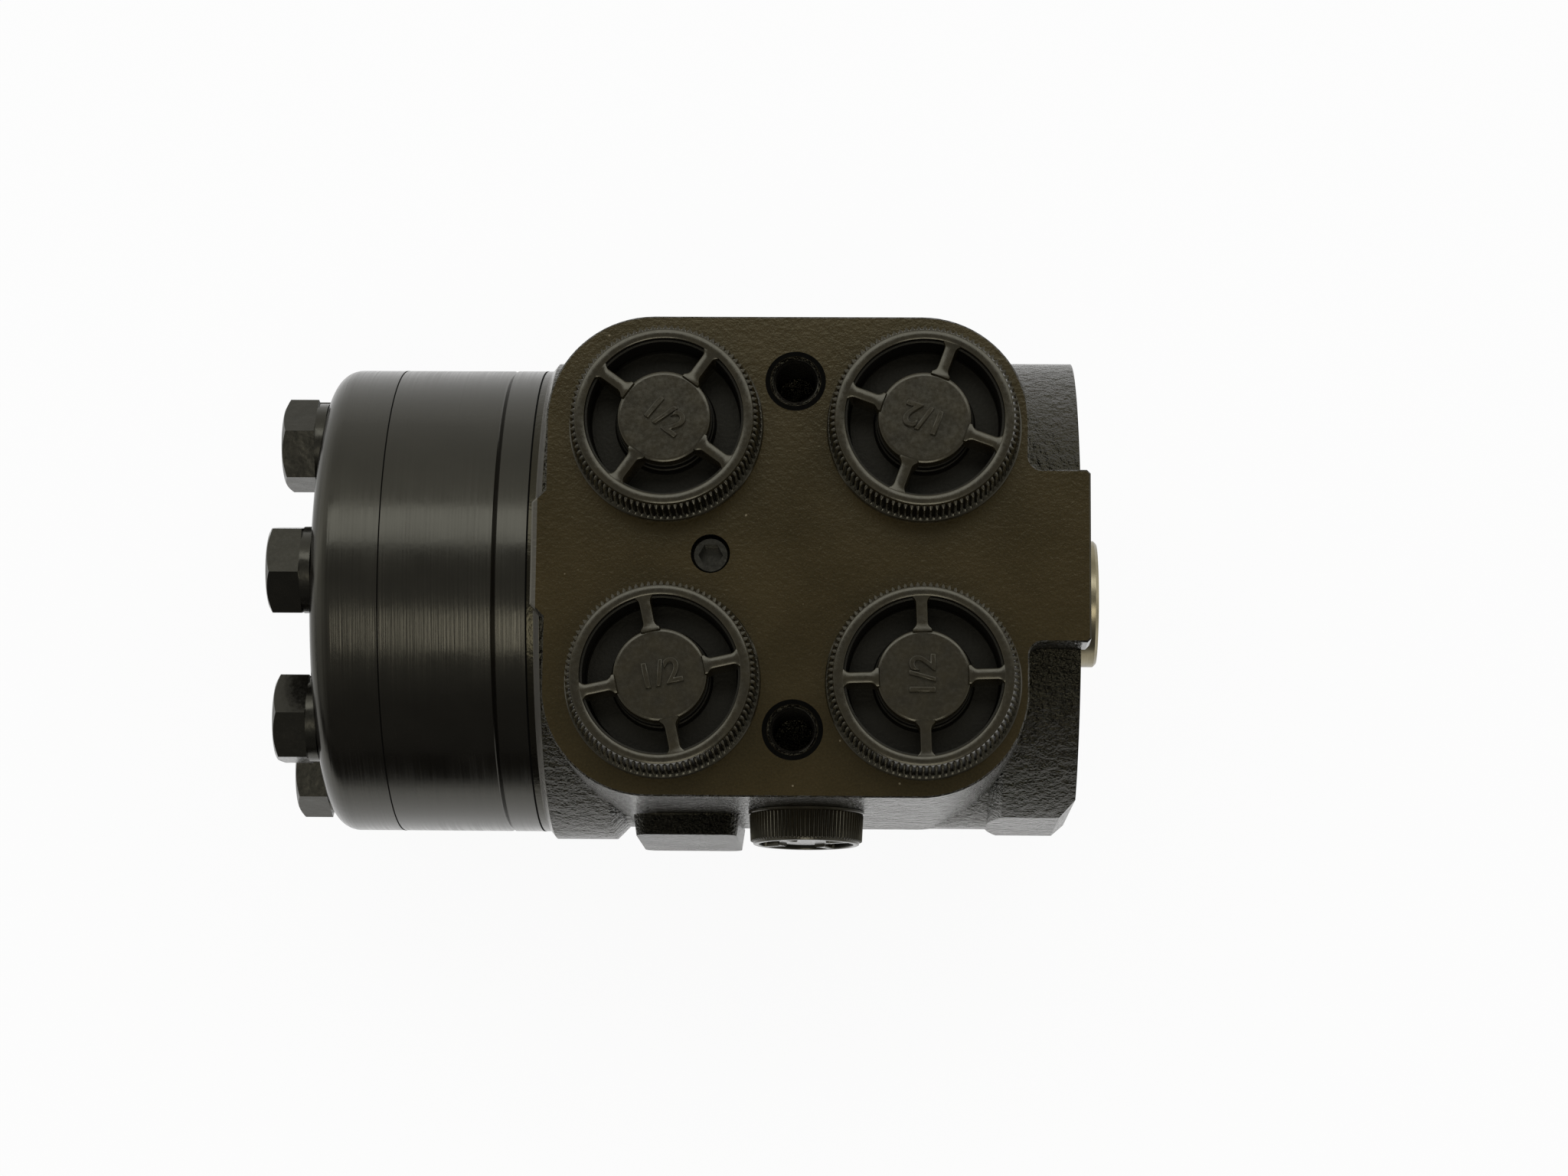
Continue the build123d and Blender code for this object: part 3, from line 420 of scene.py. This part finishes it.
# %% [markdown]
# ## Finishes
# Colours are written the way a paint chart or a screen shows them. Blender mixes light in linear
# values, so one function converts each hex code. A second one adds a shader node, sets its
# fields and joins its inputs, which keeps every finish short. Where a socket's name isn't its
# own, its number stands for it: Math takes values at 0, 1 and 2, Map Range a value at 0, the
# range it lies in at 1 and 2 and the range it gives at 3 and 4, and Mix its share at 0 and two
# colours at 6 and 7. A noise lies mostly between 0.3 and 0.7, so Map Range spreads that.


# %% Colour and node helpers
def paint(code):
    """Linear colour of an sRGB hex code: below 0.04045 a straight part, above it a power."""
    values = np.array([int(code[i:i + 2], 16) for i in (1, 3, 5)]) / 255
    linear = np.where(values <= 0.04045, values / 12.92, ((values + 0.055) / 1.055) ** 2.4)
    return (*linear.tolist(), 1.0)


def add_node(tree, kind, inputs=None, **fields):
    """Adds a node. Fields are its properties. Inputs maps a socket to a value, an output or a
    node, which stands for the first of its outputs that its properties leave in use."""
    new = tree.nodes.new("ShaderNode" + kind)
    for key, value in fields.items():
        setattr(new, key, value)
    for socket, value in (inputs or {}).items():
        if isinstance(value, bpy.types.Node):
            value = next(output for output in value.outputs if output.enabled)
        if isinstance(value, bpy.types.NodeSocket):
            tree.links.new(value, new.inputs[socket])
        else:
            new.inputs[socket].default_value = value
    return new


def new_finish(name):
    """An empty material, add_node bound to its tree, the place on the object in millimetres and
    the node with the object's own coordinates."""
    finish = bpy.data.materials.new(name)
    finish.use_nodes = True
    finish.node_tree.nodes.clear()
    add = partial(add_node, finish.node_tree)
    source = add("TexCoord")
    spot = add("VectorMath", {0: source.outputs["Object"], 1: (1 / mm,) * 3}, operation="MULTIPLY")
    return finish, add, spot, source


noise_low, noise_high = 0.3, 0.7
print("finish helpers ready")

# %% [markdown]
# ### Black machine enamel over turned steel
# The cover, ring and plate were turned and then sprayed. Under thin gloss enamel the lathe's
# rings still show as fine lines round the axis, and handling leaves faint scratches along them.
# Noise that is stretched round the axis gives both, in the roughness and a very shallow bump.
# The lathe's feed was about 0.15 mm a turn; its lines are drawn 0.35 mm wide so that they show.


# %% Turned and enamelled
def lathe_lines(add, spot, line_mm, around, detail):
    """Noise stretched round the unit's axis: its place is (station / line width, angle times
    around), so a larger around gives shorter scratches."""
    part = add("SeparateXYZ", {0: spot})
    bearing = add("Math", {0: part.outputs["Y"], 1: part.outputs["Z"]}, operation="ARCTAN2")
    station = add("Math", {0: part.outputs["X"], 1: line_mm}, operation="DIVIDE")
    turned = add("Math", {0: bearing, 1: around}, operation="MULTIPLY")
    line_place = add("CombineXYZ", {"X": station, "Y": turned})
    return add("TexNoise", {"Vector": line_place, "Scale": 1.0, "Detail": detail})


line_mm, line_depth_mm, cloud_mm, peel_mm = 0.35, 0.03, 9.0, 1.2
gloss, line_spread, cloud_spread, peel_share = 0.13, 0.1, 0.06, 0.25
turned_black, add, spot, _ = new_finish("gloss_enamel_over_turned_steel")
lines = lathe_lines(add, spot, line_mm, 1.5, 3.0)
cloud = add("TexNoise", {"Vector": spot, "Scale": 1 / cloud_mm, "Detail": 3.0})
peel = add("TexNoise", {"Vector": spot, "Scale": 1 / peel_mm, "Detail": 1.0})
relief = add("Math", {0: peel, 1: peel_share, 2: lines}, operation="MULTIPLY_ADD")
bump = add("Bump", {"Height": relief, "Distance": line_depth_mm * mm, "Strength": 1.0})
line_gloss = add("MapRange", {
    0: lines, 1: noise_low, 2: noise_high, 3: gloss, 4: gloss + line_spread,
})
cloud_gloss = add("MapRange", {0: cloud, 1: 0.35, 2: 0.7, 3: 0.0, 4: cloud_spread})
rough = add("Math", {0: line_gloss, 1: cloud_gloss}, operation="ADD")
share = add("MapRange", {0: cloud, 1: noise_low, 2: noise_high})
colour = add("Mix", {0: share, 6: paint("#0d0b09"), 7: paint("#13110e")}, data_type="RGBA")
shader = add("BsdfPrincipled", {
    "Base Color": colour, "Roughness": rough, "IOR": 1.5, "Specular Tint": paint("#fffbe2"),
    "Normal": bump,
})
add("OutputMaterial", {"Surface": shader})
print(turned_black.name)

# %% [markdown]
# ### Black enamel over a sand casting
# The housing is cast iron. Sand leaves lumps about a millimetre across, which gloss enamel
# turns into small bright points. They are drawn 2.1 mm across, with finer ones of 0.6 mm on
# top, because the sand's own grain of 0.3 mm wouldn't show. Where a cutter has faced the iron,
# on the port face and at the two ends, the lumps are gone, and on the port face the thin paint
# looks brown. Height, station and direction tell the two apart. At the plate's joint a pale
# band is painted along the cut edge: a painted highlight line.

# %% Where the casting was machined
below_face, facing_up = port_face - 0.8, 0.9
plate_end, column_end = -101.35, -0.15
pad_side, pad_middle, pad_half_length = -45.5, -74.4, 11.5
cast_black, add, spot, source = new_finish("enamel_over_sand_cast_iron")
part = add("SeparateXYZ", {0: spot})
facing = add("SeparateXYZ", {0: source.outputs["Normal"]})
face_high = add("Math", {0: part.outputs["Z"], 1: below_face}, operation="GREATER_THAN")
face_up = add("Math", {0: facing.outputs["Z"], 1: facing_up}, operation="GREATER_THAN")
port_side = add("Math", {0: face_high, 1: face_up}, operation="MULTIPLY")
at_plate = add("Math", {0: part.outputs["X"], 1: plate_end}, operation="LESS_THAN")
at_column = add("Math", {0: part.outputs["X"], 1: column_end}, operation="GREATER_THAN")
at_ends = add("Math", {0: at_plate, 1: at_column}, operation="MAXIMUM")
machined = add("Math", {0: port_side, 1: at_ends}, operation="MAXIMUM")
beside = add("Math", {0: part.outputs["Y"], 1: pad_side}, operation="LESS_THAN")
along_pad = add("Math", {0: part.outputs["X"], 1: pad_middle, 2: pad_half_length},
                operation="COMPARE")
pad = add("Math", {0: beside, 1: along_pad}, operation="MULTIPLY")
print("machined places marked")

# %% Relief of the casting
lump_mm, sand_mm, peel_mm, lump_depth_mm = 2.1, 0.6, 0.8, 1.1
sand_level, pad_extra, cutter_level = 0.45, 1.6, 0.045
lumps = add("TexNoise", {"Vector": spot, "Scale": 1 / lump_mm, "Detail": 3.0, "Roughness": 0.6})
sand = add("TexNoise", {"Vector": spot, "Scale": 1 / sand_mm, "Detail": 2.0, "Roughness": 0.6})
peel = add("TexNoise", {"Vector": spot, "Scale": 1 / peel_mm, "Detail": 2.0, "Roughness": 0.6})
sand_share = add("Math", {0: pad, 1: pad_extra, 2: sand_level}, operation="MULTIPLY_ADD")
skin = add("Math", {0: sand, 1: sand_share, 2: lumps}, operation="MULTIPLY_ADD")
uncut = add("Math", {0: 1.0, 1: machined}, operation="SUBTRACT")
cast_part = add("Math", {0: skin, 1: uncut}, operation="MULTIPLY")
cutter = add("Math", {0: peel, 1: cutter_level}, operation="MULTIPLY")
relief = add("Math", {0: cutter, 1: machined, 2: cast_part}, operation="MULTIPLY_ADD")
bump = add("Bump", {"Height": relief, "Distance": lump_depth_mm * mm, "Strength": 1.0})
print("casting has its lumps")

# %% Colour and gloss of the casting
patch_mm, grain_mm, dust_mm = 14.0, 0.45, 5.5
speck_full, speck_end = 0.03, 0.045
gloss, gloss_end, face_duller = 0.14, 0.2, 0.05
edge_station, edge_half_width = -102.0, 0.65
cloud = add("TexNoise", {"Vector": spot, "Scale": 1 / patch_mm, "Detail": 4.0, "Roughness": 0.6})
share = add("MapRange", {0: cloud, 1: noise_low, 2: noise_high})
face_colour = add("Mix", {0: share, 6: paint("#1f1705"), 7: paint("#291f0a")}, data_type="RGBA")
fine = add("TexNoise", {"Vector": spot, "Scale": 1 / grain_mm, "Detail": 2.0, "Roughness": 0.7})
fine_share = add("MapRange", {0: fine, 1: 0.35, 2: 0.7, 3: 0.0, 4: 0.36})
face_colour = add("Mix", {0: fine_share, 6: face_colour, 7: paint("#3b3018")}, data_type="RGBA")
dust = add("TexVoronoi", {"Vector": spot, "Scale": 1 / dust_mm, "Randomness": 1.0})
speck = add("MapRange", {0: dust, 1: speck_full, 2: speck_end, 3: 0.6, 4: 0.0})
face_colour = add("Mix", {0: speck, 6: face_colour, 7: paint("#8a7f68")}, data_type="RGBA")
skin_colour = add("Mix", {0: share, 6: paint("#080706"), 7: paint("#0e0c0a")}, data_type="RGBA")
colour = add("Mix", {0: port_side, 6: skin_colour, 7: face_colour}, data_type="RGBA")
# A pale band at the plate's joint: a painted highlight line.
painted_highlight_edge = add("Math", {0: part.outputs["X"], 1: edge_station, 2: edge_half_width},
                operation="COMPARE")
colour = add("Mix", {0: painted_highlight_edge, 6: colour, 7: paint("#4c4a45")}, data_type="RGBA")
cloud_gloss = add("MapRange", {0: cloud, 1: noise_low, 2: noise_high, 3: gloss, 4: gloss_end})
rough = add("Math", {0: port_side, 1: face_duller, 2: cloud_gloss}, operation="MULTIPLY_ADD")
shader = add("BsdfPrincipled", {
    "Base Color": colour, "Roughness": rough, "IOR": 1.42, "Specular Tint": paint("#fff6cc"),
    "Normal": bump,
})
add("OutputMaterial", {"Surface": shader})
print(cast_black.name)

# %% [markdown]
# ### Bolts, caps, rubber and painted shade
# Bolt heads are forged and brushed with the same enamel, which gathers softly on them. The caps
# are moulded polyethylene: satin and a very dark brown-grey. Where their mould was left
# spark-eroded they are dull, and darker there as painted shade. Nitrile rubber and the
# near-black painted shade in the joints and round two screw holes are nearly matte. One function
# serves all of them, because each is a coat whose level and gloss wander a little.


# %% Enamel on forged bolts, moulded plastic and rubber
coat_fine, coat_fine_share, coat_spread = 5, 0.06, 0.12


def lumpy_coat(name, colours, lump_mm, lump_depth_mm, gloss, ior, shine=0.5):
    """A coat whose level and roughness wander over lump_mm."""
    finish, add, spot, _ = new_finish(name)
    lumps = add("TexNoise", {"Vector": spot, "Scale": 1 / lump_mm, "Detail": 2.0})
    fine = add("TexNoise", {"Vector": spot, "Scale": coat_fine / lump_mm, "Detail": 2.0})
    relief = add("Math", {0: fine, 1: coat_fine_share, 2: lumps}, operation="MULTIPLY_ADD")
    bump = add("Bump", {"Height": relief, "Distance": lump_depth_mm * mm, "Strength": 1.0})
    share = add("MapRange", {0: lumps, 1: noise_low, 2: noise_high})
    colour = add("Mix", {0: share, 6: paint(colours[0]), 7: paint(colours[1])}, data_type="RGBA")
    rough = add("MapRange", {
        0: fine, 1: noise_low, 2: noise_high, 3: gloss, 4: gloss + coat_spread,
    })
    shader = add("BsdfPrincipled", {
        "Base Color": colour, "Roughness": rough, "IOR": ior, "Normal": bump,
        "Specular Tint": paint("#fffbe2"), "Specular IOR Level": shine,
    })
    add("OutputMaterial", {"Surface": shader})
    return finish


bolt_black = lumpy_coat("brushed_enamel_on_forged_steel", ("#0d0c0a", "#13110e"),
                        lump_mm=3.0, lump_depth_mm=0.08, gloss=0.16, ior=1.5)
cap_black = lumpy_coat("moulded_black_polyethylene", ("#1a160e", "#231e12"),
                       lump_mm=3.5, lump_depth_mm=0.05, gloss=0.14, ior=1.51)
# The darker colours of this dull coat are painted shade for the recess and the tooth gaps.
cap_dull_and_shaded = lumpy_coat("spark_eroded_black_polyethylene", ("#070605", "#0d0b08"),
                      lump_mm=0.7, lump_depth_mm=0.05, gloss=0.4, ior=1.51, shine=0.2)
rubber_black = lumpy_coat("moulded_nitrile_rubber", ("#0e0e0e", "#151515"),
                          lump_mm=0.8, lump_depth_mm=0.02, gloss=0.55, ior=1.52)
# Near-black painted shade for the joint lines and the rings round two screw holes.
painted_shade_black = lumpy_coat("cured_joint_sealant", ("#020202", "#040404"),
                           lump_mm=0.8, lump_depth_mm=0.02, gloss=0.8, ior=1.4, shine=0.1)
print(bolt_black.name, cap_black.name, cap_dull_and_shaded.name, rubber_black.name, painted_shade_black.name)

# %% [markdown]
# ### Bare steel
# Steel without paint keeps its tool marks round the axis: fine ones where it was ground or
# polished, coarser ones where it was turned. Grinding grit leaves lines of about 0.02 mm. They
# are drawn 0.12 mm wide and more, so that the streaks in the shine can be seen.


# %% Ground, turned, blued and polished steel
film_mm, steel_around, steel_spread = 4.0, 2.0, 0.12


def bare_steel(name, colours, line_mm, line_depth_mm, gloss):
    """Metal with tool lines round the unit's axis, as grinding and turning leave them."""
    finish, add, spot, _ = new_finish(name)
    lines = lathe_lines(add, spot, line_mm, steel_around, 2.0)
    film = add("TexNoise", {"Vector": spot, "Scale": 1 / film_mm, "Detail": 3.0})
    bump = add("Bump", {"Height": lines, "Distance": line_depth_mm * mm, "Strength": 1.0})
    share = add("MapRange", {0: film, 1: 0.35, 2: 0.65})
    colour = add("Mix", {0: share, 6: paint(colours[0]), 7: paint(colours[1])}, data_type="RGBA")
    rough = add("MapRange", {
        0: lines, 1: noise_low, 2: noise_high, 3: gloss, 4: gloss + steel_spread,
    })
    shader = add("BsdfPrincipled", {
        "Base Color": colour, "Metallic": 1.0, "Roughness": rough, "Normal": bump,
    })
    add("OutputMaterial", {"Surface": shader})
    return finish


ground_steel = bare_steel("ground_steel", ("#807860", "#938b72"), 0.12, 0.004, 0.25)
turned_steel = bare_steel("turned_steel", ("#a5a196", "#bdb9ad"), 0.3, 0.01, 0.3)
spring_steel = bare_steel("blued_spring_steel", ("#5d6470", "#737a85"), 0.4, 0.004, 0.28)
bearing_steel = bare_steel("polished_bearing_steel", ("#cfd0d0", "#dcdcda"), 0.2, 0.002, 0.12)
print("steels ready")

# %% [markdown]
# ## Dressing
# The record names a material slot for each node, and each slot has one finish. The housing and
# the socket plug differ from their slots. A cap's body carries two finishes, and its faces
# choose between them.

# %% Give every node and piece its finish
finishes = {
    "black_paint": turned_black, "machined_black": bolt_black, "ground_steel": ground_steel,
    "turned_steel": turned_steel, "spring_steel": spring_steel, "bolt_paint": bolt_black,
    "cap_plastic": cap_black, "nitrile": rubber_black, "bearing_steel": bearing_steel,
}
slot_of = {part["node"]: part["material_slot"] for part in frame["record"]["subparts"]}


def dress(piece, *coats):
    """Puts one finish on the whole of a piece, or several that its faces choose between."""
    piece.data.materials.clear()
    for coat in coats:
        piece.data.materials.append(coat)


for name, node in nodes.items():
    dress(node, finishes[slot_of[name]])
dress(nodes["housing"], cast_black)
dress(nodes["check_plug"], bolt_black)
for name, piece in pieces.items():
    # Joint lines and screw-hole rings are near-black painted shade.
    if "bead" in name or "mouth" in name:
        dress(piece, painted_shade_black)
    elif "thread" in name:
        dress(piece, bolt_black)
    else:
        # A cap's second finish, dull and darker, is painted shade in its recess and tooth gaps.
        dress(piece, cap_black, cap_dull_and_shaded)
        if name in dull_and_shaded_faces:
            piece.data.polygons.foreach_set("material_index", dull_and_shaded_faces[name])
print(len(nodes) + len(pieces), "pieces dressed")

# %% [markdown]
# ## The table, the light and the camera
# A white sheet under the unit, a wide window-like panel on the far side and a strip overhead.
# Gloss black shows only what it reflects, so the panels' places decide where the turned parts
# look grey and where they look black. The sheet counts as white for the camera and in
# reflections through Light Path, so no lamp has to be too bright. In reflections it fades out
# towards the viewer's side, as a sheet does that ends there.

# %% Floor
floor_level = cad_box[0][2]
half_floor = 6.0  # metres, far past the camera's view
sheet_end_mm, sheet_full_mm, sheet_glow = -250.0, -160.0, 0.94
floor_mesh = bpy.data.meshes.new("table")
floor_corners = [(-half_floor, -half_floor), (half_floor, -half_floor),
                 (half_floor, half_floor), (-half_floor, half_floor)]
floor_mesh.from_pydata([(x, y, floor_level) for x, y in floor_corners], [], [(0, 1, 2, 3)])
floor = bpy.data.objects.new("table", floor_mesh)
bpy.context.scene.collection.objects.link(floor)

sheet, add, spot, _ = new_finish("white_sheet")
path = add("LightPath")
by_camera = path.outputs["Is Camera Ray"]
across_table = add("SeparateXYZ", {0: spot}).outputs["Y"]
mirrored = add("Math", {0: path.outputs["Is Glossy Ray"], 1: path.outputs["Is Transmission Ray"]},
               operation="MAXIMUM")
seen = add("Math", {0: mirrored, 1: by_camera}, operation="MAXIMUM")
fade = add("MapRange", {0: across_table, 1: sheet_end_mm, 2: sheet_full_mm})
glow = add("Math", {0: by_camera, 1: fade}, operation="MAXIMUM")
share = add("Math", {0: seen, 1: sheet_glow}, operation="MULTIPLY")
matte = add("BsdfDiffuse", {"Color": paint("#e6e6e4")})
white = add("Emission", {"Color": (1, 1, 1, 1), "Strength": glow})
add("OutputMaterial", {"Surface": add("MixShader", {0: share, 1: matte, 2: white})})
dress(floor, sheet)
print("table at", round(floor_level / mm, 2), "mm")

# %% [markdown]
# ### The room
# The camera sees a white room. Reflections see a graded one: dim towards the viewer, grey
# overhead and bright on the far side, so that the turned parts get soft bands. The steps are
# brightnesses by the angle from straight up, in degrees towards the far side. Both ends of the
# room along the unit's axis are a little brighter.

# %% World
room_levels = {
    -90: 0.1, -60: 0.12, -42: 0.25, -12: 0.4, 2: 0.3, 14: 0.32, 40: 1.0, 62: 0.75, 90: 0.85,
}
ends_from, ends_full, ends_level = 0.5, 0.9, 0.5
world = bpy.data.worlds.new("room")
bpy.context.scene.world = world
world.use_nodes = True
world.node_tree.nodes.clear()
add = partial(add_node, world.node_tree)
path = add("LightPath")
way = add("SeparateXYZ", {0: add("TexCoord")})
tilt = add("Math", {0: way.outputs["Y"], 1: way.outputs["Z"]}, operation="ARCTAN2")
tilt_share = add("MapRange", {0: tilt, 1: -pi / 2, 2: pi / 2})
graded = add("ValToRGB", {0: tilt_share})
stops = graded.color_ramp.elements
while len(stops) < len(room_levels):
    stops.new(0.5)
for stop, (degrees_tilt, brightness) in zip(stops, room_levels.items()):
    stop.position = (degrees_tilt + 90) / 180
    stop.color = (brightness, brightness, brightness, 1)
sideways = add("Math", {0: way.outputs["X"]}, operation="ABSOLUTE")
ends = add("MapRange", {0: sideways, 1: ends_from, 2: ends_full, 3: 0.0, 4: ends_level})
room = add("Math", {0: graded, 1: ends}, operation="ADD")
seen = add("Math", {0: path.outputs["Is Camera Ray"], 1: path.outputs["Is Transmission Ray"]},
           operation="MAXIMUM")
level = add("Mix", {0: seen, 2: room, 3: 1.0}, data_type="FLOAT")
sky = add("Background", {"Color": (1, 1, 1, 1), "Strength": level})
add("OutputWorld", {"Surface": sky})
print("room of", len(room_levels), "steps")


# %% Lamps
def panel(name, tilt, distance, along, length, width, radiance, colour):
    """A soft panel over the unit, tilted from straight above towards +Y. Its power comes from
    the brightness wanted: radiance times area times pi."""
    lamp = bpy.data.lights.new(name, "AREA")
    lamp.shape = "RECTANGLE"
    lamp.size, lamp.size_y = length, width
    lamp.energy = radiance * length * width * pi
    lamp.color = paint(colour)[:3]
    holder = bpy.data.objects.new(name, lamp)
    bpy.context.scene.collection.objects.link(holder)
    direction = Vector((0, np.sin(radians(tilt)), np.cos(radians(tilt))))
    holder.location = Vector((along, 0, 0)) + direction * distance
    holder.rotation_euler = direction.to_track_quat("Z", "Y").to_euler()
    return holder


window = panel("window_panel", tilt=27.5, distance=1.4, along=-0.05, length=1.6, width=0.46,
               radiance=2.2, colour="#f6f8ff")
strip = panel("overhead_strip", tilt=-24, distance=1.4, along=-0.02, length=0.52, width=0.46,
              radiance=3.2, colour="#fffaf2")
print("lamps placed:", window.name, strip.name)

# %% Camera
eye = Vector((-37.237, -118.052, 698.158)) * mm
aim = Vector((-56.808, 2.961, 0.0)) * mm
roll, focal_length = 0.010, 81.25
forward = (aim - eye).normalized()
right = forward.cross(Vector((0, 1, 0))).normalized()
up = right.cross(forward)
turned_right = right * np.cos(roll) + up * np.sin(roll)
turned_up = up * np.cos(roll) - right * np.sin(roll)
lens = bpy.data.cameras.new("camera")
lens.sensor_width, lens.sensor_fit = 36.0, "HORIZONTAL"
lens.lens = focal_length
lens.clip_start = 0.01
camera = bpy.data.objects.new("camera", lens)
bpy.context.scene.collection.objects.link(camera)
camera.matrix_world = Matrix.Translation(eye) @ Matrix(
    (turned_right, turned_up, -forward)
).transposed().to_4x4()
bpy.context.scene.camera = camera
bpy.context.scene.view_settings.view_transform = "Standard"
print("camera", round((aim - eye).length / mm), "mm away")
